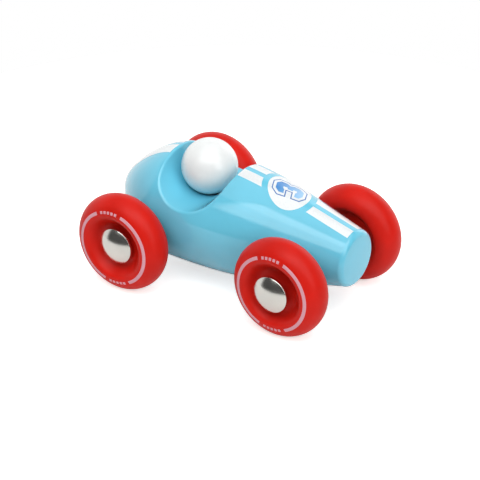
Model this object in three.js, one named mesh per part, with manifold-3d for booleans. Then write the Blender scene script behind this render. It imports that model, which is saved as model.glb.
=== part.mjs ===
// A small push-along racing car turned from wood: a lacquered egg-shaped body with a scooped cockpit,
// a ball for the driver's head, and four soft wheels that spin on steel axles under domed push-on caps.
//
// Millimetres. +X points to the nose, +Y to the car's left, +Z up. The origin is on the floor, below the
// middle of the car's outer box. Every wheel's own axis runs along Y.

import * as THREE from 'three';
import { mergeVertices } from 'three/addons/utils/BufferGeometryUtils.js';
import Module from 'manifold-3d';

const wasm = await Module();
wasm.setup();

// ---------------------------------------------------------------- driving dimensions

const wheelRadius = 20;
const wheelWidth = 14;
const wheelbase = 70.4;
const frontTrack = 52.5; // between the middle planes of the two wheels
const rearTrack = 64.5;

const axleRadius = 2.5;
const runningGap = 0.3; // between anything that turns and what it turns in
const fixedGap = 0.2; // between two pieces that are fixed to each other

const tailOverhang = 21.6; // tail tip behind the rear axle
const noseOverhang = 17.6; // nose face ahead of the front axle
const bodyRadius = 23.3; // at the fattest place of the turned body
const bodyAxisHeight = 26.5; // of the turning axis, at the middle of the car
const noseDroop = 0.02; // radians by which the turning axis leans down towards the nose

const headRadius = 11.2;
const scoopRadius = 14.8; // cockpit: a round trough across the body
const capRadius = 7.4;

// ---------------------------------------------------------------- derived places

const overallLength = tailOverhang + wheelbase + wheelRadius;
const rearAxleX = tailOverhang - overallLength / 2;
const frontAxleX = rearAxleX + wheelbase;
const axleHeight = wheelRadius;

const tailX = rearAxleX - tailOverhang;
const noseX = frontAxleX + noseOverhang;
const fattestX = rearAxleX + 5.9;

const headCentre = new THREE.Vector3(rearAxleX + 18.7, 0, 45.1);
const scoopCentre = new THREE.Vector3(rearAxleX + 20, 0, 49.6);
const seatRadius = headRadius + 0.4; // the seat is milled a little wider than the ball

// wheel, measured from its middle plane and its axis
const hubHalfWidth = 2.3;
const hubRadius = 7.6; // flat of the hub, where the dish starts
const dishFootRadius = 10.6; // the dish's curve heads for this radius as it leaves the hub
const dishLipRadius = 11.3; // and comes from this one as it reaches the tyre's side
const boreRadius = axleRadius + runningGap;
const treadRadius = 6.3; // radial half-height of the tyre's round section

// cap, measured from its widest line outwards along the axle
const capWall = 0.5;
const capSkirt = 1.1;
const capEdgeRadius = 0.6; // rounded edge between the skirt and the dome
const capEdgeSlope = THREE.MathUtils.degToRad(34); // steepness of the dome where it meets that edge
const axleBeyondCapLine = 1.8;
const ringThickness = 0.6;
const ringTeeth = 6;

// spacer tube between the body and each wheel
const spacerRadius = 4.5;
const spacerSocketDepth = 4;
const spacerToHub = 0.5;

const dowelRadius = 3;
const dowelDepth = 8; // into the body and into the ball

// per axle: place, track, how far outboard of the wheel's middle plane the cap's widest line lies, and
// how far from the middle of the car the socket for the spacer starts
const axles = [
  { name: 'front', x: frontAxleX, track: frontTrack, capOffset: 7.2, bodySide: 14.4 },
  { name: 'rear', x: rearAxleX, track: rearTrack, capOffset: 4.95, bodySide: 21.4 },
];
const sides = [
  { name: 'left', sign: 1 },
  { name: 'right', sign: -1 },
];

// ---------------------------------------------------------------- materials

function paint(color, roughness, metalness = 0) {
  return new THREE.MeshStandardMaterial({ color, roughness, metalness });
}

const blueLacquer = paint('#58b9d8', 0.2);
const whiteLacquer = paint('#f2f3f1', 0.25);
const redRubber = paint('#c81e1a', 0.5);
const nickel = paint('#d3d2cb', 0.15, 1);
const axleSteel = paint('#a9abad', 0.35, 1);
const springSteel = paint('#7e8082', 0.4, 1);
const greyPlastic = paint('#3a3c3f', 0.5);
const beech = paint('#d9b98a', 0.6);

// ---------------------------------------------------------------- solids

// A geometry as a Manifold solid, with its seams closed.
function toSolid(geometry) {
  const bare = geometry.clone();
  bare.deleteAttribute('normal');
  bare.deleteAttribute('uv');
  const merged = mergeVertices(bare, 1e-4);
  const mesh = new wasm.Mesh({
    numProp: 3,
    vertProperties: new Float32Array(merged.attributes.position.array),
    triVerts: new Uint32Array(merged.index.array),
  });
  return new wasm.Manifold(mesh);
}

function toGeometry(solid) {
  const mesh = solid.getMesh();
  const geometry = new THREE.BufferGeometry();
  geometry.setAttribute('position', new THREE.BufferAttribute(mesh.vertProperties, 3));
  geometry.setIndex(new THREE.BufferAttribute(mesh.triVerts, 1));
  geometry.computeVertexNormals();
  return geometry;
}

function cut(geometry, tools) {
  let solid = toSolid(geometry);
  for (const tool of tools) {
    solid = solid.subtract(toSolid(tool));
  }
  return toGeometry(solid);
}

// A turned piece about Y. The outline runs from low Y to high Y along its outer side.
function turned(outline, segments) {
  return toGeometry(toSolid(new THREE.LatheGeometry(outline, segments)));
}

// A straight tube about Y, centred on y = 0.
function tube(outer, inner, length, segments) {
  const half = length / 2;
  const outline = [
    [inner, -half],
    [outer, -half],
    [outer, half],
    [inner, half],
    [inner, -half],
  ];
  return turned(outline.map(([radius, y]) => new THREE.Vector2(radius, y)), segments);
}

function crossRod(radius, length, x, z, segments = 28) {
  return new THREE.CylinderGeometry(radius, radius, length, segments).translate(x, 0, z);
}

// ---------------------------------------------------------------- body

// Half outline of the turned body: a round tail, the fattest place just ahead of the rear axle, and a
// long taper to a flat nose with a rounded edge. X is the distance from the axis, Y the place along it.
function bodyOutline() {
  const noseRadius = 11.6;
  const noseEdge = 2.4;
  const tail = new THREE.CubicBezierCurve(
    new THREE.Vector2(0, tailX),
    new THREE.Vector2(7.2, tailX),
    new THREE.Vector2(bodyRadius, fattestX - 10.3),
    new THREE.Vector2(bodyRadius, fattestX),
  );
  const flank = new THREE.CubicBezierCurve(
    new THREE.Vector2(bodyRadius, fattestX),
    new THREE.Vector2(bodyRadius, fattestX + 40),
    new THREE.Vector2(20.2, fattestX + 44),
    new THREE.Vector2(noseRadius, noseX - noseEdge),
  );
  const edge = new THREE.EllipseCurve(
    noseRadius - noseEdge, noseX - noseEdge, noseEdge, noseEdge, 0, Math.PI / 2, false, 0,
  );
  return [
    ...tail.getPoints(9),
    ...flank.getPoints(8).slice(1),
    ...edge.getPoints(3).slice(1),
    new THREE.Vector2(0, noseX),
  ];
}

function bodyGeometry() {
  const shell = new THREE.LatheGeometry(bodyOutline(), 40);
  shell.rotateZ(-Math.PI / 2);
  shell.rotateY(noseDroop);
  shell.translate(0, 0, bodyAxisHeight);

  const scoop = crossRod(scoopRadius, 4 * bodyRadius, scoopCentre.x, scoopCentre.z, 48);
  const seat = new THREE.SphereGeometry(seatRadius, 32, 20);
  seat.translate(headCentre.x, headCentre.y, headCentre.z);
  const tools = [scoop, seat, dowelHole()];
  for (const axle of axles) {
    tools.push(crossRod(boreRadius, 4 * bodyRadius, axle.x, axleHeight));
    for (const side of sides) {
      const socket = crossRod(spacerRadius + fixedGap, 2 * bodyRadius, axle.x, axleHeight);
      socket.translate(0, side.sign * (axle.bodySide - spacerSocketDepth + bodyRadius), 0);
      tools.push(socket);
    }
  }
  return cut(shell, tools);
}

// ---------------------------------------------------------------- driver's head

// One drilling through the cockpit floor and up into the ball takes the dowel.
function dowelHole() {
  const length = 2 * dowelDepth;
  const hole = new THREE.CylinderGeometry(dowelRadius + fixedGap, dowelRadius + fixedGap, length, 20);
  hole.rotateX(Math.PI / 2);
  return hole.translate(headCentre.x, 0, headCentre.z - headRadius);
}

function headGeometry() {
  const ball = new THREE.SphereGeometry(headRadius, 32, 16);
  ball.rotateX(Math.PI / 2);
  const hole = dowelHole().translate(-headCentre.x, -headCentre.y, -headCentre.z);
  return cut(ball, [hole]);
}

function dowelGeometry() {
  const half = dowelDepth - runningGap;
  const chamfer = 0.6;
  const outline = [
    [0, -half],
    [dowelRadius - chamfer, -half],
    [dowelRadius, -half + chamfer],
    [dowelRadius, half - chamfer],
    [dowelRadius - chamfer, half],
    [0, half],
  ];
  const rod = turned(outline.map(([radius, y]) => new THREE.Vector2(radius, y)), 20);
  return rod.rotateX(Math.PI / 2);
}

// ---------------------------------------------------------------- wheels and axles

// Half of the wheel's section on the +Y side, from the hub's bore out to the crown of the tread.
function wheelHalfOutline() {
  const halfWidth = wheelWidth / 2;
  const shoulderRadius = wheelRadius - treadRadius;
  const dish = new THREE.CubicBezierCurve(
    new THREE.Vector2(hubRadius, hubHalfWidth),
    new THREE.Vector2(dishFootRadius, hubHalfWidth),
    new THREE.Vector2(dishLipRadius, halfWidth),
    new THREE.Vector2(shoulderRadius, halfWidth),
  );
  const tread = new THREE.EllipseCurve(
    shoulderRadius, 0, treadRadius, halfWidth, Math.PI / 2, 0, true, 0,
  );
  return [
    new THREE.Vector2(boreRadius, hubHalfWidth),
    ...dish.getPoints(4),
    ...tread.getPoints(4).slice(1),
  ];
}

function wheelGeometry() {
  const upper = wheelHalfOutline();
  const lower = upper.slice(0, -1).map((point) => new THREE.Vector2(point.x, -point.y));
  const outline = [...lower, ...upper.reverse(), lower[0].clone()];
  return turned(outline, 36);
}

// A solid rod with a chamfer at each end.
function axleGeometry(length) {
  const half = length / 2;
  const chamfer = 0.5;
  const outline = [
    [0, -half],
    [axleRadius - chamfer, -half],
    [axleRadius, -half + chamfer],
    [axleRadius, half - chamfer],
    [axleRadius - chamfer, half],
    [0, half],
  ];
  return turned(outline.map(([radius, y]) => new THREE.Vector2(radius, y)), 24);
}

// Points from the cap's widest line over the rounded edge to the top of its shallow dome.
function capCurve(radius, edgeRadius) {
  const edgeEnd = Math.PI / 2 - capEdgeSlope;
  const edge = new THREE.EllipseCurve(
    radius - edgeRadius, 0, edgeRadius, edgeRadius, 0, edgeEnd, false, 0,
  ).getPoints(2);
  const rim = edge[edge.length - 1];
  const domeRadius = rim.x / Math.sin(capEdgeSlope);
  const dome = new THREE.EllipseCurve(
    0, rim.y - domeRadius * Math.cos(capEdgeSlope), domeRadius, domeRadius, edgeEnd, Math.PI / 2, false, 0,
  ).getPoints(4);
  return [...edge, ...dome.slice(1)];
}

// A shallow dome with a rounded edge and a short skirt, about Y with its widest line at y = 0.
function capGeometry() {
  const outside = capCurve(capRadius, capEdgeRadius);
  const inside = capCurve(capRadius - capWall, capEdgeRadius - capWall);
  const outline = [
    new THREE.Vector2(capRadius, -capSkirt),
    ...outside,
    ...inside.reverse(),
    new THREE.Vector2(capRadius - capWall, -capSkirt),
    new THREE.Vector2(capRadius, -capSkirt),
  ];
  return turned(outline, 24);
}

// The toothed spring ring that grips the axle inside the cap: teeth point at the axle between slots.
function ringGeometry() {
  const outer = capRadius - capWall - fixedGap;
  const tooth = axleRadius + fixedGap;
  const slot = outer - 1.6;
  const pitch = (2 * Math.PI) / ringTeeth;
  const at = (radius, angle) => (
    new THREE.Vector2(radius * Math.cos(angle), radius * Math.sin(angle))
  );
  const rim = [];
  const teeth = [];
  for (let i = 0; i < ringTeeth; i += 1) {
    const start = i * pitch;
    for (const share of [0, 0.25, 0.5, 0.75]) {
      rim.push(at(outer, start + share * pitch));
    }
    for (const share of [0.1, 0.45, 0.8]) {
      teeth.push(at(tooth, start + share * pitch));
    }
    for (const share of [0.8, 0.95, 1.1]) {
      teeth.push(at(slot, start + share * pitch));
    }
  }
  const shape = new THREE.Shape(rim);
  shape.holes.push(new THREE.Path(teeth));
  const ring = new THREE.ExtrudeGeometry(shape, { depth: ringThickness, bevelEnabled: false });
  ring.translate(0, 0, -ringThickness / 2);
  return toGeometry(toSolid(ring.rotateX(-Math.PI / 2)));
}

// ---------------------------------------------------------------- assembly

const car = new THREE.Group();

function place(parent, name, geometry, material, x = 0, y = 0, z = 0) {
  const mesh = new THREE.Mesh(geometry, material);
  mesh.name = name;
  mesh.position.set(x, y, z);
  parent.add(mesh);
  return mesh;
}

place(car, 'body', bodyGeometry(), blueLacquer);
place(car, 'driver_head', headGeometry(), whiteLacquer, headCentre.x, headCentre.y, headCentre.z);
place(car, 'head_dowel', dowelGeometry(), beech, headCentre.x, 0, headCentre.z - headRadius);

for (const axle of axles) {
  const line = new THREE.Group();
  line.position.set(axle.x, 0, axleHeight);
  car.add(line);

  const wheelPlane = axle.track / 2;
  const capLine = wheelPlane + axle.capOffset;
  const axleLength = 2 * (capLine + axleBeyondCapLine);
  place(line, `${axle.name}_axle`, axleGeometry(axleLength), axleSteel);

  for (const side of sides) {
    const end = `${axle.name}_${side.name}`;
    const spacerStart = axle.bodySide - spacerSocketDepth + fixedGap;
    const spacerEnd = wheelPlane - hubHalfWidth - spacerToHub;
    const spacerMiddle = side.sign * (spacerStart + spacerEnd) / 2;
    const spacer = tube(spacerRadius, boreRadius, spacerEnd - spacerStart, 24);
    const ringPlane = side.sign * (capLine - capSkirt + ringThickness);
    const cap = place(line, `${end}_cap`, capGeometry(), nickel, 0, side.sign * capLine);
    if (side.sign < 0) {
      cap.rotation.x = Math.PI;
    }
    place(line, `${end}_wheel`, wheelGeometry(), redRubber, 0, side.sign * wheelPlane);
    place(line, `${end}_grip_ring`, ringGeometry(), springSteel, 0, ringPlane);
    place(line, `${end}_spacer`, spacer, greyPlastic, 0, spacerMiddle);
  }
}

export default car;
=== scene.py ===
"""A small push-along racing car turned from wood, in sky-blue lacquer, with a ball for the driver's head.

Lengths inside this script are millimetres in the frame's axes (+X nose, +Y the car's left, +Z up) until
a mesh is made, which turns them into metres.
"""

import math

import bmesh
import bpy
import numpy as np
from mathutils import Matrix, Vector


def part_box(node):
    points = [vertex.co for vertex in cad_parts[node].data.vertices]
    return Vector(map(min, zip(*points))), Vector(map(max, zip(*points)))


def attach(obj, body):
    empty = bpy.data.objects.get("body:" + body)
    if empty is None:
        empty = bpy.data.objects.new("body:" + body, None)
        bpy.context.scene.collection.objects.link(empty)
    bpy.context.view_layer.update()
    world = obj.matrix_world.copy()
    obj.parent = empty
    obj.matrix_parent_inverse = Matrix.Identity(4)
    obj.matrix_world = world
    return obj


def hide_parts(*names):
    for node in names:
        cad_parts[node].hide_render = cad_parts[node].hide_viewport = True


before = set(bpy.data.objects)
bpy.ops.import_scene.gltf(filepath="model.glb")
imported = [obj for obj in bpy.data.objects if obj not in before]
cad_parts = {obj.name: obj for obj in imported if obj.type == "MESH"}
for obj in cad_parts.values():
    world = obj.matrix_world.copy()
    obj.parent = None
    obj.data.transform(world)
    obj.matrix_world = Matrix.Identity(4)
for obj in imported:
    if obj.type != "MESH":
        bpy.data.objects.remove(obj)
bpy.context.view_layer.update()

MM = 0.001

# ---------------------------------------------------------------- sizes read from the frame


def box_mm(node):
    """Lowest and highest corner of a CAD node, in millimetres."""
    low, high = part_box(node)
    return np.array(low) / MM, np.array(high) / MM


def middle(node):
    low, high = box_mm(node)
    return (low + high) / 2


body_low, body_high = box_mm("body")
head_low, head_high = box_mm("driver_head")
wheel_low, wheel_high = box_mm("front_left_wheel")
cap_low, cap_high = box_mm("front_left_cap")
spacer_low, spacer_high = box_mm("front_left_spacer")
axle_low, axle_high = box_mm("front_axle")

FRONT_X = middle("front_axle")[0]
REAR_X = middle("rear_axle")[0]
AXLE_Z = middle("rear_axle")[2]
WHEEL_RADIUS = (wheel_high[2] - wheel_low[2]) / 2
WHEEL_HALF_WIDTH = (wheel_high[1] - wheel_low[1]) / 2
AXLE_RADIUS = (axle_high[2] - axle_low[2]) / 2
SPACER_RADIUS = (spacer_high[2] - spacer_low[2]) / 2
CAP_RADIUS = (cap_high[2] - cap_low[2]) / 2
HEAD_RADIUS = (head_high[0] - head_low[0]) / 2
HEAD = np.array([middle("driver_head")[0], 0, head_high[2] - HEAD_RADIUS])

BODY_RADIUS = body_high[1]
BODY_DROOP = 0.02  # radians by which the turning axis leans down to the nose
NOSE_RADIUS = 11.6
NOSE_EDGE = 2.4
TAIL_BLUNTNESS = 7.2  # radius that the tail's curve heads for as it leaves the tip
TAIL_REACH = 10.3  # how far behind the fattest place the tail's curve levels out
FLANK_REACH = 40  # how far the flank keeps its fullness ahead of the fattest place
FLANK_SHOULDER = (44, 20.2)  # ahead of the fattest place, and the radius that the flank bends towards
TAIL_X = body_low[0]
NOSE_X = body_high[0] - NOSE_RADIUS * BODY_DROOP
FATTEST_X = REAR_X + 5.9
BODY_AXIS_Z = body_low[2] + BODY_RADIUS + FATTEST_X * BODY_DROOP

SCOOP_RADIUS = 14.8
SCOOP = np.array([REAR_X + 20, 49.6])  # x and z of the trough's axis
SCOOP_EDGE = 0.8  # rounding of the cockpit's rim
SEAT_RADIUS = HEAD_RADIUS + 0.4
SEAT_EDGE = 0.5

RUNNING_GAP = 0.3
FIXED_GAP = 0.2  # between pieces that are glued or pushed together
BORE_RADIUS = AXLE_RADIUS + RUNNING_GAP

AXLES = ("front", "rear")
SIDES = {"left": 1, "right": -1}

# ---------------------------------------------------------------- mesh helpers


def mesh_piece(name, points, faces, material, body, replaced=()):
    """A smooth-shaded piece from points in millimetres, riding on a CAD body."""
    mesh = bpy.data.meshes.new(name)
    mesh.from_pydata((np.asarray(points) * MM).tolist(), [], faces)
    return finish_piece(name, mesh, material, body, replaced)


def finish_piece(name, mesh, material, body, replaced):
    mesh.validate()
    for polygon in mesh.polygons:
        polygon.use_smooth = True
    mesh.materials.append(material)
    piece = bpy.data.objects.new(name, mesh)
    bpy.context.scene.collection.objects.link(piece)
    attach(piece, body)
    if replaced:
        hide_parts(*replaced)
    return piece


def crease_sharp(piece, degrees=35):
    """Keeps edges steeper than this angle crisp under smooth shading."""
    mesh = piece.data
    work = bmesh.new()
    work.from_mesh(mesh)
    for edge in work.edges:
        if len(edge.link_faces) == 2:
            edge.smooth = edge.calc_face_angle(0) < math.radians(degrees)
    work.to_mesh(mesh)
    work.free()
    return piece


def revolve(outline, segments, closed=False):
    """Points and faces of an outline of (radius, height) turned about the height axis.

    The outline runs so that the outside lies to its right. It starts and ends on the axis, or it is
    closed on itself. Returns points as (cross, height, cross) with the height along Y."""
    outline = np.asarray(outline, float)
    angles = np.linspace(0, 2 * math.pi, segments, endpoint=False)
    points = []
    rows = []
    for radius, height in outline:
        if radius < 1e-6:
            rows.append([len(points)] * segments)
            points.append((0, height, 0))
            continue
        first = len(points)
        rows.append(list(range(first, first + segments)))
        points += [(radius * math.sin(a), height, radius * math.cos(a)) for a in angles]
    pairs = list(zip(rows, rows[1:]))
    if closed:
        pairs.append((rows[-1], rows[0]))
    faces = []
    for low, high in pairs:
        for i in range(segments):
            j = (i + 1) % segments
            ring = [low[i], low[j], high[j], high[i]]
            face = list(dict.fromkeys(ring))
            if len(face) > 2:
                faces.append(face)
    return np.array(points, float), faces


def bezier(p0, p1, p2, p3, count):
    t = np.linspace(0, 1, count)[:, None]
    p0, p1, p2, p3 = (np.array(p, float) for p in (p0, p1, p2, p3))
    return (1 - t) ** 3 * p0 + 3 * (1 - t) ** 2 * t * p1 + 3 * (1 - t) * t**2 * p2 + t**3 * p3


def arc(centre, radii, start, end, count):
    """Points of an elliptical arc between two angles in degrees."""
    t = np.radians(np.linspace(start, end, count))
    return np.stack([centre[0] + radii[0] * np.cos(t), centre[1] + radii[1] * np.sin(t)], 1)


def rounded(outline, radius, count=4):
    """The closed outline with each of its corners rounded."""
    outline = np.asarray(outline, float)
    result = []
    for i, corner in enumerate(outline):
        before = outline[i - 1] - corner
        after = outline[(i + 1) % len(outline)] - corner
        reach = min(radius, np.linalg.norm(before) / 2.2, np.linalg.norm(after) / 2.2)
        start = corner + before / np.linalg.norm(before) * reach
        end = corner + after / np.linalg.norm(after) * reach
        for t in np.linspace(0, 1, count):
            result.append((1 - t) ** 2 * start + 2 * t * (1 - t) * corner + t**2 * end)
    return np.array(result)


# ---------------------------------------------------------------- material helpers


class Nodes:
    """A material's node tree with the few calls that the materials below need."""

    def __init__(self, name):
        self.material = bpy.data.materials.new(name)
        self.material.use_nodes = True
        self.tree = self.material.node_tree
        self.shader = self.tree.nodes["Principled BSDF"]
        self.place = self.tree.nodes.new("ShaderNodeTexCoord").outputs["Object"]

    def set(self, **values):
        for name, value in values.items():
            self.shader.inputs[name.replace("_", " ")].default_value = value
        return self

    def link(self, output, name):
        self.tree.links.new(output, self.shader.inputs[name])

    def noise(self, scale, detail=4, roughness=0.5, stretch=(1, 1, 1)):
        """Noise with features 1/scale metres apart."""
        mapping = self.tree.nodes.new("ShaderNodeMapping")
        mapping.inputs["Scale"].default_value = stretch
        node = self.tree.nodes.new("ShaderNodeTexNoise")
        node.inputs["Scale"].default_value = scale
        node.inputs["Detail"].default_value = detail
        node.inputs["Roughness"].default_value = roughness
        self.tree.links.new(self.place, mapping.inputs["Vector"])
        self.tree.links.new(mapping.outputs["Vector"], node.inputs["Vector"])
        return node.outputs["Fac"]

    def ramp(self, value, stops):
        """A colour ramp. Stops are (position, colour or grey)."""
        node = self.tree.nodes.new("ShaderNodeValToRGB")
        elements = node.color_ramp.elements
        while len(elements) < len(stops):
            elements.new(0.5)
        for element, (position, colour) in zip(elements, stops):
            element.position = position
            if not isinstance(colour, tuple):
                colour = (colour,) * 3
            element.color = (*colour, 1)
        self.tree.links.new(value, node.inputs["Fac"])
        return node.outputs["Color"]

    def bump(self, layers):
        """Chained bumps: each layer is (height value, depth in metres)."""
        normal = None
        for value, depth in layers:
            node = self.tree.nodes.new("ShaderNodeBump")
            node.inputs["Distance"].default_value = depth
            node.inputs["Strength"].default_value = 1
            self.tree.links.new(value, node.inputs["Height"])
            if normal is not None:
                self.tree.links.new(normal, node.inputs["Normal"])
            normal = node.outputs["Normal"]
        return normal

    def finish_with(self, colour, roughness, bumps):
        self.link(colour, "Base Color")
        self.link(roughness, "Roughness")
        normal = self.bump(bumps)
        self.link(normal, "Normal")
        return self.material


def shade(colour, factor):
    return tuple(min(1.0, c * factor) for c in colour)


def lacquer(name, colour, gloss=0.12, coat_roughness=0.04):
    """Sprayed lacquer over sanded wood: a clear coat, faint flow marks and a trace of the grain."""
    n = Nodes(name).set(
        Coat_Weight=1.0, Coat_Roughness=coat_roughness, Coat_IOR=1.5, Specular_IOR_Level=0.1
    )
    cloud = n.noise(60, 3)
    tint = n.ramp(cloud, [(0.3, shade(colour, 0.95)), (0.7, shade(colour, 1.04))])
    rough = n.ramp(n.noise(900, 2), [(0.3, gloss), (0.7, gloss + 0.08)])
    flow = n.noise(350, 2)
    grain = n.noise(120, 3, stretch=(0.12, 1, 1))
    return n.finish_with(tint, rough, [(flow, 0.000004), (grain, 0.000006)])


def ink(name, colour, roughness=0.3, coat=1.0):
    """Screen-printed ink, with slightly uneven cover."""
    n = Nodes(name).set(Coat_Weight=coat, Coat_Roughness=0.04, Coat_IOR=1.52, Specular_IOR_Level=0.1)
    cover = n.noise(1500, 3)
    tint = n.ramp(cover, [(0.3, shade(colour, 0.94)), (0.65, colour)])
    rough = n.ramp(n.noise(2500, 2), [(0.3, roughness), (0.7, roughness + 0.1)])
    return n.finish_with(tint, rough, [(cover, 0.000002)])


def fading_ink(name, start, end, start_x, end_x):
    """Ink whose colour runs from one shade to another along the car, between two places in mm."""
    n = Nodes(name).set(Coat_Weight=1.0, Coat_Roughness=0.04, Coat_IOR=1.52, Specular_IOR_Level=0.1)
    split = n.tree.nodes.new("ShaderNodeSeparateXYZ")
    n.tree.links.new(n.place, split.inputs["Vector"])
    along = n.tree.nodes.new("ShaderNodeMapRange")
    along.inputs["From Min"].default_value = start_x * MM
    along.inputs["From Max"].default_value = end_x * MM
    n.tree.links.new(split.outputs["X"], along.inputs["Value"])
    tint = n.ramp(along.outputs["Result"], [(0.0, start), (1.0, end)])
    cover = n.noise(1500, 3)
    rough = n.ramp(cover, [(0.3, 0.3), (0.7, 0.4)])
    return n.finish_with(tint, rough, [(cover, 0.000002)])


def rubber(name, colour):
    """Moulded rubber: satin skin with a fine pebble and paler dusty patches."""
    n = Nodes(name).set(IOR=1.5, Specular_IOR_Level=0.17)
    patches = n.noise(90, 4)
    tint = n.ramp(patches, [(0.35, shade(colour, 0.92)), (0.7, shade(colour, 1.06))])
    rough = n.ramp(n.noise(260, 5), [(0.3, 0.36), (0.7, 0.46)])
    pebble = n.noise(2600, 3)
    swell = n.noise(180, 2)
    return n.finish_with(tint, rough, [(swell, 0.00002), (pebble, 0.000008)])


def metal(name, colour, roughness, stretch=(1, 1, 1), scratch=0.000002):
    """Metal with fine scratches; stretch draws them out along an axis."""
    n = Nodes(name).set(Metallic=1.0)
    stain = n.noise(200, 3)
    tint = n.ramp(stain, [(0.35, shade(colour, 0.93)), (0.65, colour)])
    fine = n.noise(3000, 4, stretch=stretch)
    rough = n.ramp(fine, [(0.3, roughness), (0.75, roughness + 0.1)])
    return n.finish_with(tint, rough, [(fine, scratch)])


def plastic(name, colour):
    n = Nodes(name).set(IOR=1.46)
    speckle = n.noise(2000, 3)
    tint = n.ramp(speckle, [(0.3, shade(colour, 0.9)), (0.7, shade(colour, 1.1))])
    rough = n.ramp(n.noise(500, 3), [(0.3, 0.42), (0.7, 0.55)])
    return n.finish_with(tint, rough, [(speckle, 0.000008)])


def wood(name, light, dark):
    """Bare beech: straight grain along Z with short dark flecks."""
    n = Nodes(name).set(IOR=1.45)
    grain = n.noise(900, 5, stretch=(1, 1, 0.08))
    tint = n.ramp(grain, [(0.35, dark), (0.6, light)])
    rough = n.ramp(grain, [(0.3, 0.65), (0.7, 0.5)])
    return n.finish_with(tint, rough, [(grain, 0.00003)])


BLUE = (0.142, 0.555, 0.735)
WHITE = (0.83, 0.85, 0.845)
RED = (0.625, 0.010, 0.004)

blue_lacquer = lacquer("sky_blue_lacquer", BLUE)
white_lacquer = lacquer("white_lacquer", WHITE, gloss=0.25, coat_roughness=0.16)
red_rubber = rubber("red_rubber", RED)
pale_print = ink("pale_print", (0.72, 0.36, 0.42), roughness=0.5, coat=0.0)
white_ink = ink("white_ink", (0.82, 0.85, 0.86))
dark_blue_ink = ink("dark_blue_ink", (0.03, 0.16, 0.48))
nickel = metal("nickel_plate", (0.7, 0.695, 0.65), 0.15)
axle_steel = metal("drawn_steel", (0.55, 0.56, 0.57), 0.28, stretch=(8, 0.3, 8))
spring_steel = metal("spring_steel", (0.32, 0.32, 0.33), 0.35)
grey_plastic = plastic("grey_plastic", (0.045, 0.048, 0.052))
beech = wood("beech", (0.62, 0.42, 0.24), (0.42, 0.25, 0.12))

# ---------------------------------------------------------------- the turned body


def body_outline():
    """(x, radius) from the tail tip to the nose's rounded edge, closely spaced."""
    tail = bezier(
        (TAIL_X, 0),
        (TAIL_X, TAIL_BLUNTNESS),
        (FATTEST_X - TAIL_REACH, BODY_RADIUS),
        (FATTEST_X, BODY_RADIUS),
        400,
    )
    flank = bezier(
        (FATTEST_X, BODY_RADIUS),
        (FATTEST_X + FLANK_REACH, BODY_RADIUS),
        (FATTEST_X + FLANK_SHOULDER[0], FLANK_SHOULDER[1]),
        (NOSE_X - NOSE_EDGE, NOSE_RADIUS),
        600,
    )
    edge = arc((NOSE_X - NOSE_EDGE, NOSE_RADIUS - NOSE_EDGE), (NOSE_EDGE, NOSE_EDGE), 90, 0, 16)
    return np.concatenate([tail, flank[1:], edge[1:]])


OUTLINE = body_outline()


def turned_radius(x):
    return np.interp(x, OUTLINE[:, 0], OUTLINE[:, 1])


def to_frame(x, y, w):
    """From the turned body's own axes, with x along its leaning axis, to the frame's axes."""
    c, s = math.cos(BODY_DROOP), math.sin(BODY_DROOP)
    return np.stack(np.broadcast_arrays(x * c + w * s, y, BODY_AXIS_Z - x * s + w * c), -1)


def round_corner(a, b, radius):
    """Inside of both shapes, with the edge where they meet rounded."""
    corner = np.hypot(np.maximum(a + radius, 0), np.maximum(b + radius, 0))
    return np.minimum(-radius, np.maximum(a, b)) + corner


def body_field(x, angle, rho):
    """Below zero inside the wood, at a distance rho from the turning axis."""
    point = to_frame(x, rho * np.sin(angle), rho * np.cos(angle))
    slope = np.gradient(OUTLINE[:, 1], OUTLINE[:, 0])
    lean = np.cos(np.arctan(np.interp(x, OUTLINE[:, 0], slope)))
    shell = (rho - turned_radius(x)) * lean
    trough = SCOOP_RADIUS - np.hypot(point[..., 0] - SCOOP[0], point[..., 2] - SCOOP[1])
    seat = SEAT_RADIUS - np.linalg.norm(point - HEAD, axis=-1)
    return round_corner(round_corner(shell, trough, SCOOP_EDGE), seat, SEAT_EDGE)


def surface_radius(x, angle):
    """Distance from the turning axis to the finished surface, past the cockpit's cut."""
    x, angle = np.broadcast_arrays(np.asarray(x, float), np.asarray(angle, float))
    full = turned_radius(x)
    low = np.zeros_like(full)
    high = full.copy()
    found = np.zeros(full.shape, bool)
    steps = 60
    for k in range(1, steps + 1):
        rho = full * k / steps
        outside = body_field(x, angle, rho) > 0
        first = outside & ~found
        low = np.where(first, full * (k - 1) / steps, low)
        high = np.where(first, rho, high)
        found |= outside
    low = np.where(found, low, full)
    high = np.where(found, high, full)
    for _ in range(24):
        half = (low + high) / 2
        outside = body_field(x, angle, half) > 0
        high = np.where(outside, half, high)
        low = np.where(outside, low, half)
    return (low + high) / 2


def body_stations():
    """Places along the axis for the body's rings: closest together where the cockpit's walls rise."""
    reach = SCOOP_RADIUS + SCOOP_EDGE + 0.6
    sweep = np.radians(np.linspace(-84, 84, 113))
    floor = SCOOP[0] + SCOOP_RADIUS * np.sin(sweep)
    lip = np.linspace(floor[-1], SCOOP[0] + reach, 24)[1:]
    rear_lip = 2 * SCOOP[0] - lip[::-1]
    cockpit = np.concatenate([rear_lip, floor, lip])
    tail = bezier((TAIL_X, 0), (TAIL_X, 1), (cockpit[0] - 8, 1), (cockpit[0] - 1, 1), 46)[1:, 0]
    flank = np.linspace(cockpit[-1], NOSE_X - NOSE_EDGE, 84)[1:]
    edge = NOSE_X - NOSE_EDGE + NOSE_EDGE * np.sin(np.radians(np.linspace(0, 90, 9)[1:]))
    return np.concatenate([tail, cockpit, flank, edge])


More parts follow.
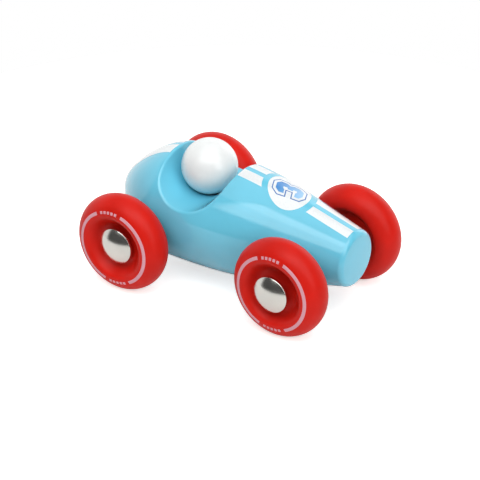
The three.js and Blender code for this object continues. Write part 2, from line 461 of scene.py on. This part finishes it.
def body_angles():
    """Angles round the axis from the top: closest together where the cockpit's rim runs low."""
    upper = np.arange(0, 58, 0.9)
    rim = np.arange(58, 82, 0.45)
    lower = np.arange(82, 180, 1.9)
    half = np.concatenate([upper, rim, lower])
    return np.radians(np.concatenate([half, 360 - half[:0:-1]]))


def axle_cutter(axle):
    """A rod across the body for one axle's bore and the two sockets for the spacer tubes."""
    reach = 2 * BODY_RADIUS
    socket = box_mm(f"{axle}_left_spacer")[0][1] - FIXED_GAP
    wide = SPACER_RADIUS + FIXED_GAP
    outline = [
        (0, -reach),
        (wide, -reach),
        (wide, -socket),
        (BORE_RADIUS, -socket),
        (BORE_RADIUS, socket),
        (wide, socket),
        (wide, reach),
        (0, reach),
    ]
    points, faces = revolve(outline, 64)
    points += (middle(f"{axle}_axle")[0], 0, AXLE_Z)
    mesh = bpy.data.meshes.new("cutter")
    mesh.from_pydata((points * MM).tolist(), [], faces)
    cutter = bpy.data.objects.new("cutter", mesh)
    bpy.context.scene.collection.objects.link(cutter)
    return cutter


def cut_away(piece, cutters):
    """Takes the cutters out of a piece for good."""
    for cutter in cutters:
        modifier = piece.modifiers.new("cut", "BOOLEAN")
        modifier.operation = "DIFFERENCE"
        modifier.solver = "EXACT"
        modifier.object = cutter
    graph = bpy.context.evaluated_depsgraph_get()
    mesh = bpy.data.meshes.new_from_object(piece.evaluated_get(graph))
    piece.modifiers.clear()
    piece.data = mesh
    for cutter in cutters:
        bpy.data.objects.remove(cutter)


def make_body():
    stations = body_stations()
    angles = body_angles()
    radii = surface_radius(stations[:, None], angles[None, :])
    points = to_frame(stations[:, None], radii * np.sin(angles), radii * np.cos(angles))
    count = len(angles)
    points = points.reshape(-1, 3)
    faces = []
    for i in range(len(stations) - 1):
        for j in range(count):
            k = (j + 1) % count
            faces.append((i * count + j, i * count + k, (i + 1) * count + k, (i + 1) * count + j))
    tip = len(points)
    nose = tip + 1
    last = (len(stations) - 1) * count
    ends = to_frame(np.array([TAIL_X, NOSE_X]), 0.0, 0.0)
    points = np.concatenate([points, ends])
    faces += [(tip, (j + 1) % count, j) for j in range(count)]
    faces += [(nose, last + j, last + (j + 1) % count) for j in range(count)]
    piece = mesh_piece("body_shell", points, faces, blue_lacquer, "car_body", ["body"])
    cut_away(piece, [axle_cutter(axle) for axle in AXLES])
    return crease_sharp(piece, 50)


make_body()

# ---------------------------------------------------------------- printed stripes and number

DISC = np.array([REAR_X + 55.1, 1.5])  # the print's middle line lies slightly off the body's
DISC_RADII = (9.0, 10.2)
DISC_LEAN = -0.2  # the disc and its figure lean back towards the tail on the car's left
STRIPE_INNER = 1.4  # from the print's middle line to the stripes
CLEAR_RADII = (11.6, 13.0)  # the leaning ellipse round the disc that the stripes keep clear
TAIL_STRIPE_GAP = 4.5  # from the tail's tip to the stripes
TAIL_STRIPE_OUTER = 7.5
MIDDLE_STRIPE_OUTER = 6.4
NOSE_STRIPE_OUTER = 5.9
FILM_CELL = 0.8  # largest cell of a film's mesh
STEEP_FILM_CELL = 0.25  # the same where the body falls away steeply
FILM_DEPTH = 0.06  # how far a film's underside lies inside the body
INK_LIFT = 0.03  # how far a film stands on the body; inks printed later stand higher
BORDER_LIFT = 0.05
FIELD_LIFT = 0.065
FIGURE_LIFT = 0.08


def leaning(outline):
    """Places measured from the middle of the disc, leant over, as plan places on the car."""
    outline = np.asarray(outline, float)
    return DISC + np.stack([outline[:, 0] + DISC_LEAN * outline[:, 1], outline[:, 1]], 1)


def on_body(x, y, lift):
    """A point of the body's upper surface above plan place (x, y), lifted along the surface normal."""
    angle = np.arcsin(np.clip(y / turned_radius(x), -0.98, 0.98))
    radius = surface_radius(x, angle)
    return to_frame(x, (radius + lift) * np.sin(angle), (radius + lift) * np.cos(angle))


def printed(name, outline, lift, material, cell=FILM_CELL):
    """A thin film of ink with this plan outline, laid on the body's upper surface."""
    work = bmesh.new()
    work.faces.new([work.verts.new((x, y, 0)) for x, y in outline])
    low, high = np.min(outline, 0), np.max(outline, 0)
    for axis in (0, 1):
        normal = Vector((1, 0, 0)) if axis == 0 else Vector((0, 1, 0))
        for place in np.arange(low[axis] + cell / 2, high[axis], cell):
            geometry = [*work.verts, *work.edges, *work.faces]
            bmesh.ops.bisect_plane(work, geom=geometry, plane_co=normal * place, plane_no=normal)
    bmesh.ops.recalc_face_normals(work, faces=work.faces)
    work.verts.index_update()
    plan = np.array([vert.co[:2] for vert in work.verts])
    faces = [[vert.index for vert in f.verts] for f in work.faces]
    if sum(f.normal.z for f in work.faces) < 0:
        faces = [f[::-1] for f in faces]
    rim = []
    for f in faces:
        rim += list(zip(f, f[1:] + f[:1]))
    rim = set(rim)
    rim = [(a, b) for a, b in rim if (b, a) not in rim]
    work.free()
    count = len(plan)
    top = on_body(plan[:, 0], plan[:, 1], lift)
    under = on_body(plan[:, 0], plan[:, 1], -FILM_DEPTH)
    solid = faces + [[i + count for i in f[::-1]] for f in faces]
    solid += [[a, a + count, b + count, b] for a, b in rim]
    piece = mesh_piece(name, np.concatenate([top, under]), solid, material, "car_body")
    return crease_sharp(piece, 40)


def stripe(ends, outer, sign):
    """A straight band between two places along the car; an end given as "disc" curves round the disc."""
    across = np.linspace(STRIPE_INNER, outer, 9) * sign

    def end_line(place, towards):
        if place == "disc":
            reach = CLEAR_RADII[0] * np.sqrt(1 - (across / CLEAR_RADII[1]) ** 2)
            return leaning(np.stack([towards * reach, across], 1))
        return np.stack([np.full(len(across), place), DISC[1] + across], 1)

    return np.concatenate([end_line(ends[0], 1), end_line(ends[1], -1)[::-1]])


def inset(outline, distance):
    """The outline moved inwards by a distance, corners kept."""
    outline = np.asarray(outline, float)
    turn = sum(
        a[0] * b[1] - b[0] * a[1] for a, b in zip(outline, np.roll(outline, -1, axis=0))
    )
    result = []
    for i, corner in enumerate(outline):
        normals = []
        for a, b in ((outline[i - 1], corner), (corner, outline[(i + 1) % len(outline)])):
            along = (b - a) / np.linalg.norm(b - a)
            normals.append(np.array([-along[1], along[0]]) * np.sign(turn))
        mitre = normals[0] + normals[1]
        result.append(corner + mitre / np.dot(mitre, normals[0]) * distance)
    return np.array(result)


# A block figure three, seen from its open side: down the figure, then across it to its back.
FIGURE_BORDER = [
    (-7.3, -2.4), (-7.3, 2.4), (-4.7, 5.0), (-1.1, 5.0), (0.0, 4.1), (1.1, 5.0), (4.7, 5.0),
    (7.3, 2.4), (7.3, -2.4), (4.9, -5.0), (1.1, -5.0), (1.1, -1.5), (-1.1, -1.5), (-1.1, -5.0),
    (-4.9, -5.0),
]
FIGURE = [
    (-5.7, -1.6), (-5.7, 1.7), (-4.0, 3.5), (-1.5, 3.5), (0.0, 2.5), (1.5, 3.5), (4.0, 3.5),
    (5.8, 1.7), (5.8, -1.6), (4.4, -3.4), (2.5, -3.4), (2.5, -1.1), (3.1, -0.5), (3.1, 0.6),
    (1.5, 0.6), (1.5, -0.4), (-0.9, -0.4), (-0.9, 0.6), (-2.7, 0.6), (-2.7, -0.5), (-2.1, -1.1),
    (-2.1, -3.4), (-4.2, -3.4),
]
FIGURE_TURN = math.radians(15)
FIGURE_LINE = 0.45


def figure_outline(outline):
    """The figure's outline turned on the disc."""
    c, s = math.cos(FIGURE_TURN), math.sin(FIGURE_TURN)
    outline = np.asarray(outline, float)
    down, across = outline[:, 0], outline[:, 1]
    return np.stack([down * c - across * s, down * s + across * c], 1)


def make_prints():
    cockpit_rear = SCOOP[0] - SCOOP_RADIUS - SCOOP_EDGE - 1.0
    cockpit_front = SCOOP[0] + SCOOP_RADIUS + 0.2
    sections = {
        "tail": ((TAIL_X + TAIL_STRIPE_GAP, cockpit_rear), TAIL_STRIPE_OUTER, STEEP_FILM_CELL),
        "middle": ((cockpit_front, "disc"), MIDDLE_STRIPE_OUTER, FILM_CELL),
        "nose": (("disc", NOSE_X - NOSE_EDGE), NOSE_STRIPE_OUTER, FILM_CELL),
    }
    for section, (ends, outer, cell) in sections.items():
        for side, sign in SIDES.items():
            printed(f"{section}_stripe_{side}", stripe(ends, outer, sign), INK_LIFT, white_ink, cell)
    printed("number_disc", leaning(arc((0, 0), DISC_RADII, 0, 357, 120)), INK_LIFT, white_ink)
    border = figure_outline(FIGURE_BORDER)
    printed("number_border", leaning(border), BORDER_LIFT, dark_blue_ink)
    printed("number_field", leaning(inset(border, FIGURE_LINE)), FIELD_LIFT, white_ink)
    fill = fading_ink("number_ink", (0.06, 0.26, 0.62), (0.32, 0.58, 0.85), DISC[0] - 4, DISC[0] + 6)
    printed("number_figure", leaning(figure_outline(FIGURE)), FIGURE_LIFT, fill)


make_prints()

# ---------------------------------------------------------------- driver's head


def make_head():
    """A turned ball, drilled from below for its dowel."""
    dowel_low, dowel_high = box_mm("head_dowel")
    hole = (dowel_high[0] - dowel_low[0]) / 2 + FIXED_GAP
    depth = dowel_high[2] + 0.3 - HEAD[2]
    mouth = math.degrees(math.asin(hole / HEAD_RADIUS))
    sphere = arc((0, 0), (HEAD_RADIUS, HEAD_RADIUS), -90 + mouth, 90, 72)
    sphere[-1, 0] = 0
    outline = np.concatenate([[(0, depth), (hole, depth)], sphere])
    points, faces = revolve(outline, 128)
    points = np.stack([points[:, 0], points[:, 2], points[:, 1]], 1) + HEAD
    faces = [face[::-1] for face in faces]
    piece = mesh_piece(
        "ball_head", points, faces, white_lacquer, "car_body", ["driver_head"]
    )
    return crease_sharp(piece)


def make_dowel():
    low, high = box_mm("head_dowel")
    radius = (high[0] - low[0]) / 2
    chamfer = 0.6
    outline = [
        (0, low[2]),
        (radius - chamfer, low[2]),
        (radius, low[2] + chamfer),
        (radius, high[2] - chamfer),
        (radius - chamfer, high[2]),
        (0, high[2]),
    ]
    points, faces = revolve(outline, 48)
    points = np.stack([points[:, 0], points[:, 2], points[:, 1]], 1) + (HEAD[0], 0, 0)
    faces = [face[::-1] for face in faces]
    piece = mesh_piece("glued_dowel", points, faces, beech, "car_body", ["head_dowel"])
    return crease_sharp(piece)


make_head()
make_dowel()

# ---------------------------------------------------------------- wheels and axles

HUB_HALF_WIDTH = 2.3
HUB_RADIUS = 7.6
DISH_FOOT_RADIUS = 10.6  # where the dish's curve would leave the hub's flat
DISH_LIP_RADIUS = 11.3  # where it would reach the tyre's side
TREAD_RADIUS = 6.3
SHOULDER_RADIUS = WHEEL_RADIUS - TREAD_RADIUS
RING_INNER = 14.45
RING_OUTER = 15.75
ARC_GAP = 22.5  # from the top of the wheel to where a printed arc starts, in degrees
DOT_PITCH = 6.5  # degrees
DOT_REACH = 0.55  # half a dot's side
TYRE_FILM_DEPTH = 0.05
PRINT_TURN = {"front": -2, "rear": -7}  # how far each axle's wheels stand turned, in degrees


def along_axle(points, sign, x, y):
    """Points made about the origin, moved onto an axle; sign -1 turns their outside to the right."""
    return np.stack([points[:, 0], points[:, 1] * sign, points[:, 2]], 1) + (x, y, AXLE_Z)


def facing(faces, sign):
    return faces if sign > 0 else [face[::-1] for face in faces]


def wheel_half_outline():
    """(radius, distance from the wheel's middle plane) from the bore to the crown of the tread."""
    dish = bezier(
        (HUB_RADIUS, HUB_HALF_WIDTH),
        (DISH_FOOT_RADIUS, HUB_HALF_WIDTH),
        (DISH_LIP_RADIUS, WHEEL_HALF_WIDTH),
        (SHOULDER_RADIUS, WHEEL_HALF_WIDTH),
        22,
    )
    tread = arc((SHOULDER_RADIUS, 0), (TREAD_RADIUS, WHEEL_HALF_WIDTH), 90, 0, 26)
    bore_edge = arc((BORE_RADIUS + 0.5, HUB_HALF_WIDTH - 0.5), (0.5, 0.5), 180, 90, 5)
    return np.concatenate([bore_edge, dish, tread[1:]])


def make_wheel(axle, side):
    node = f"{axle}_{side}_wheel"
    upper = wheel_half_outline()
    lower = upper[:-1] * (1, -1)
    outline = np.concatenate([lower, upper[::-1]])
    points, faces = revolve(outline, 144, closed=True)
    x, y, _ = middle(node)
    points = along_axle(points, 1, x, y)
    mesh_piece(f"{node}_tyre", points, faces, red_rubber, f"{node}_set", [node])


def side_of_tyre(radius):
    """Distance of the tyre's side from the wheel's middle plane."""
    rise = np.clip((radius - SHOULDER_RADIUS) / TREAD_RADIUS, -1, 1)
    return WHEEL_HALF_WIDTH * np.sqrt(1 - rise**2)


def film_on_tyre(name, radii, angles, node, sign):
    """A thin printed film on a tyre's outer side, over a grid of radii and angles."""
    grid_r, grid_a = np.meshgrid(radii, angles, indexing="ij")
    layers = []
    for lift in (INK_LIFT, -TYRE_FILM_DEPTH):
        out = side_of_tyre(grid_r) + lift
        layers.append(np.stack([grid_r * np.sin(grid_a), out, grid_r * np.cos(grid_a)], -1))
    rows, columns = grid_r.shape
    count = rows * columns
    faces = []
    for i in range(rows - 1):
        for j in range(columns - 1):
            a = i * columns + j
            quad = [a, a + 1, a + columns + 1, a + columns]
            faces.append(quad)
            faces.append([k + count for k in quad[::-1]])
    border = list(range(columns))
    border += [i * columns + columns - 1 for i in range(1, rows)]
    border += [(rows - 1) * columns + j for j in range(columns - 2, -1, -1)]
    border += [i * columns for i in range(rows - 2, 0, -1)]
    for a, b in zip(border, border[1:] + border[:1]):
        faces.append([b, a, a + count, b + count])
    x, y, _ = middle(node)
    points = along_axle(np.concatenate([layer.reshape(-1, 3) for layer in layers]), sign, x, y)
    body = f"{node}_set"
    return crease_sharp(
        mesh_piece(name, points, facing(faces, sign), pale_print, body), 40
    )


def make_wheel_print(axle, side):
    """Two printed arcs, and a row of dots in each gap between them."""
    node = f"{axle}_{side}_wheel"
    sign = SIDES[side]
    radii = np.linspace(RING_INNER, RING_OUTER, 7)
    turn = PRINT_TURN[axle]
    for k, label in enumerate(("front", "back")):
        angles = np.radians(np.linspace(ARC_GAP, 180 - ARC_GAP, 90) + 180 * k + turn)
        film_on_tyre(f"{node}_arc_{label}", radii, angles, node, sign)
    ring = (RING_INNER + RING_OUTER) / 2
    for k in range(10):
        centre = math.radians((k % 5 - 2) * DOT_PITCH + 180 * (k // 5) + turn)
        spread = np.linspace(-DOT_REACH, DOT_REACH, 4)
        film_on_tyre(f"{node}_dot_{k}", ring + spread, centre + spread / ring, node, sign)


CAP_SLOPE = 36  # steepness of the dome where it meets the rounded edge, in degrees
CAP_EDGE = 0.3
CAP_WALL = 0.5
CAP_SKIRT = 1.1


def cap_curve(radius, edge):
    """(radius, height) over the cap's rounded edge to the top of its shallow dome."""
    edge_end = 90 - CAP_SLOPE
    corner = arc((radius - edge, 0), (edge, edge), 0, edge_end, 8)
    rim, rim_height = corner[-1]
    dome_radius = rim / math.sin(math.radians(CAP_SLOPE))
    sink = dome_radius * math.cos(math.radians(CAP_SLOPE))
    dome = arc((0, rim_height - sink), (dome_radius, dome_radius), edge_end, 90, 30)
    dome[-1, 0] = 0
    return np.concatenate([corner, dome[1:]])


def make_cap(axle, side):
    """A drawn dome with a short skirt and a rolled lip, pushed over the end of the axle."""
    node = f"{axle}_{side}_cap"
    low, high = box_mm(node)
    sign = SIDES[side]
    outside = cap_curve(CAP_RADIUS, CAP_EDGE)
    inside = cap_curve(CAP_RADIUS - CAP_WALL, CAP_EDGE / 4)[::-1]
    fold = CAP_WALL / 2
    lip = arc((CAP_RADIUS - fold, -CAP_SKIRT + fold), (fold, fold), 180, 360, 9)
    points, faces = revolve(np.concatenate([inside, lip, outside]), 96)
    dome = outside[-1, 1]
    line = (high[1] - dome) if sign > 0 else (low[1] + dome)
    points = along_axle(points, sign, middle(node)[0], line)
    mesh_piece(
        f"{node}_dome", points, facing(faces, sign), nickel, f"{axle}_axle_set", [node]
    )


def make_grip_ring(axle, side):
    """A stamped ring whose teeth bite on the axle inside the cap."""
    node = f"{axle}_{side}_grip_ring"
    low, high = box_mm(node)
    outer = (high[2] - low[2]) / 2
    tooth = AXLE_RADIUS + FIXED_GAP
    rim_width = 1.6
    slot = outer - rim_width
    teeth = 6
    steps = 16
    inner = []
    for k in range(teeth * steps):
        in_tooth = (k % steps) < 0.7 * steps
        inner.append(tooth if in_tooth else slot)
    count = len(inner)
    angles = np.linspace(0, 2 * math.pi, count, endpoint=False)
    rings = []
    for radius, y in ((outer, low[1]), (outer, high[1]), (inner, high[1]), (inner, low[1])):
        radius = np.broadcast_to(radius, count)
        rings.append(np.stack([radius * np.sin(angles), np.full(count, y), radius * np.cos(angles)], 1))
    faces = []
    for i in range(4):
        for j in range(count):
            k = (j + 1) % count
            n = (i + 1) % 4
            faces.append((i * count + j, i * count + k, n * count + k, n * count + j))
    points = np.concatenate(rings) + (middle(node)[0], 0, AXLE_Z)
    piece = mesh_piece(
        f"{node}_teeth", points, faces, spring_steel, f"{axle}_axle_set", [node]
    )
    crease_sharp(piece)


def make_spacer(axle, side):
    node = f"{axle}_{side}_spacer"
    low, high = box_mm(node)
    edge = 0.4
    corners = [
        (BORE_RADIUS, low[1]),
        (SPACER_RADIUS, low[1]),
        (SPACER_RADIUS, high[1]),
        (BORE_RADIUS, high[1]),
    ]
    points, faces = revolve(rounded(corners, edge), 72, closed=True)
    points += (middle(node)[0], 0, AXLE_Z)
    mesh_piece(f"{node}_tube", points, faces, grey_plastic, "car_body", [node])


def make_axle(axle):
    node = f"{axle}_axle"
    low, high = box_mm(node)
    chamfer = 0.5
    outline = [
        (0, low[1]),
        (AXLE_RADIUS - chamfer, low[1]),
        (AXLE_RADIUS, low[1] + chamfer),
        (AXLE_RADIUS, high[1] - chamfer),
        (AXLE_RADIUS - chamfer, high[1]),
        (0, high[1]),
    ]
    points, faces = revolve(outline, 64)
    points += (middle(node)[0], 0, AXLE_Z)
    piece = mesh_piece(
        f"{node}_rod", points, faces, axle_steel, f"{axle}_axle_set", [node]
    )
    crease_sharp(piece)


for axle in AXLES:
    make_axle(axle)
    for side in SIDES:
        make_wheel(axle, side)
        make_wheel_print(axle, side)
        make_cap(axle, side)
        make_grip_ring(axle, side)
        make_spacer(axle, side)

# ---------------------------------------------------------------- floor, light and camera


FLOOR_RADIUS = 220
FLOOR_GLOW = 0.63  # painted light: a glow that the camera alone sees, added to the paper so that it fades into the white and the car's shadow on it comes out pale


def make_floor():
    """A pale round table just larger than the view, so that it fades into the white around it. For the
    camera alone it glows, painted light that pales the car's shadow on it.
    """
    points, faces = revolve([(0, 0), (FLOOR_RADIUS, 0)], 96)
    points = np.stack([points[:, 0], points[:, 2], points[:, 1]], 1)
    mesh = bpy.data.meshes.new("floor")
    mesh.from_pydata((points * MM).tolist(), [], faces)
    floor = bpy.data.objects.new("floor", mesh)
    bpy.context.scene.collection.objects.link(floor)
    n = Nodes("floor_paper").set(IOR=1.4, Specular_IOR_Level=0.1)
    fibre = n.noise(3000, 4)
    # Painted light: a faint warm glow that only the camera sees, which pales the shadows on the paper
    n.set(Emission_Color=(1.0, 0.965, 0.945, 1.0))
    path = n.tree.nodes.new("ShaderNodeLightPath")
    lift = n.tree.nodes.new("ShaderNodeMath")
    lift.operation = "MULTIPLY"
    lift.inputs[1].default_value = FLOOR_GLOW
    n.tree.links.new(path.outputs["Is Camera Ray"], lift.inputs[0])
    n.link(lift.outputs[0], "Emission Strength")
    tint = n.ramp(fibre, [(0.3, (0.83, 0.825, 0.815)), (0.7, (0.87, 0.865, 0.855))])
    rough = n.ramp(fibre, [(0.3, 0.85), (0.7, 0.95)])
    mesh.materials.append(n.finish_with(tint, rough, [(fibre, 0.00001)]))


def direction(azimuth, elevation):
    """Unit vector towards a place in the sky; azimuth 0 is -Y and 90 is +X, as for the camera."""
    a, e = math.radians(azimuth), math.radians(elevation)
    return Vector((math.sin(a) * math.cos(e), -math.cos(a) * math.cos(e), math.sin(e)))


PANELS = [
    (37, 62, 35, 75, 4, 2.75),  # key, a wide box overhead
    (74, 15, 6, 33, 4, 2.9),  # side, ahead of the car
    (0, 180, 58, 100, 3, 1.05),  # ceiling
    (-126, 70, -30, 40, 5, 0.9),  # behind, to the tail's left
    (162, 32, -30, 32, 5, 0.8),  # behind, to the nose's left
    (0, 180, -90, 100, 5, 0.07),  # the dim room all round
]


def make_surroundings():
    """White all round for the camera; for light and reflections, a tent of soft panels.

    Each panel is (azimuth of its middle, half width, lowest, highest elevation, soft edge) in degrees,
    and its brightness."""
    world = bpy.data.worlds.new("studio")
    world.use_nodes = True
    bpy.context.scene.world = world
    nodes, links = world.node_tree.nodes, world.node_tree.links

    def math_node(operation, *values):
        node = nodes.new("ShaderNodeMath")
        node.operation = operation
        for socket, value in zip(node.inputs, values):
            if isinstance(value, (int, float)):
                socket.default_value = value
            else:
                links.new(value, socket)
        return node.outputs[0]

    def ease(value, start, end):
        """Runs smoothly from 0 to 1 as the value goes from start to end."""
        node = nodes.new("ShaderNodeMapRange")
        node.interpolation_type = "SMOOTHSTEP"
        node.inputs["From Min"].default_value = start
        node.inputs["From Max"].default_value = end
        links.new(value, node.inputs["Value"])
        return node.outputs["Result"]

    place = nodes.new("ShaderNodeTexCoord")
    split = nodes.new("ShaderNodeSeparateXYZ")
    links.new(place.outputs["Generated"], split.inputs["Vector"])
    elevation = math_node("ARCSINE", split.outputs["Z"])
    azimuth = math_node("ARCTAN2", split.outputs["X"], math_node("MULTIPLY", split.outputs["Y"], -1))

    def panel(middle, half_width, lowest, highest, soft, brightness):
        middle, half_width, lowest, highest, soft = map(
            math.radians, (middle, half_width, lowest, highest, soft)
        )
        around = math_node("WRAP", math_node("SUBTRACT", azimuth, middle), math.pi, -math.pi)
        across = ease(math_node("ABSOLUTE", around), half_width + soft, half_width - soft)
        above = ease(elevation, lowest - soft, lowest + soft)
        below = ease(elevation, highest + soft, highest - soft)
        shape = math_node("MULTIPLY", across, math_node("MULTIPLY", above, below))
        return math_node("MULTIPLY", shape, brightness)

    light = panel(*PANELS[0])
    for values in PANELS[1:]:
        light = math_node("ADD", light, panel(*values))
    path = nodes.new("ShaderNodeLightPath")
    choose = nodes.new("ShaderNodeMix")
    links.new(path.outputs["Is Camera Ray"], choose.inputs["Factor"])
    links.new(light, choose.inputs["A"])
    choose.inputs["B"].default_value = 1.0
    nodes["Background"].inputs["Color"].default_value = (1, 1, 1, 1)
    links.new(choose.outputs["Result"], nodes["Background"].inputs["Strength"])


CAMERA_AIM = (-1.2, 0, 16.3)
CAMERA_AZIMUTH = 34.87
CAMERA_ELEVATION = 29.38
CAMERA_DISTANCE = 919.3
CAMERA_LENS = 174.4


def make_camera():
    camera = bpy.data.objects.new("camera", bpy.data.cameras.new("camera"))
    bpy.context.scene.collection.objects.link(camera)
    aim = Vector(CAMERA_AIM) * MM
    back = direction(CAMERA_AZIMUTH, CAMERA_ELEVATION)
    camera.location = aim + back * (CAMERA_DISTANCE * MM)
    camera.rotation_mode = "QUATERNION"
    camera.rotation_quaternion = (-back).to_track_quat("-Z", "Y")
    camera.data.sensor_width = 36
    camera.data.lens = CAMERA_LENS
    camera.data.clip_start = 0.01
    camera.data.clip_end = 20
    bpy.context.scene.camera = camera


make_floor()
make_surroundings()
make_camera()
bpy.context.scene.view_settings.view_transform = "Standard"
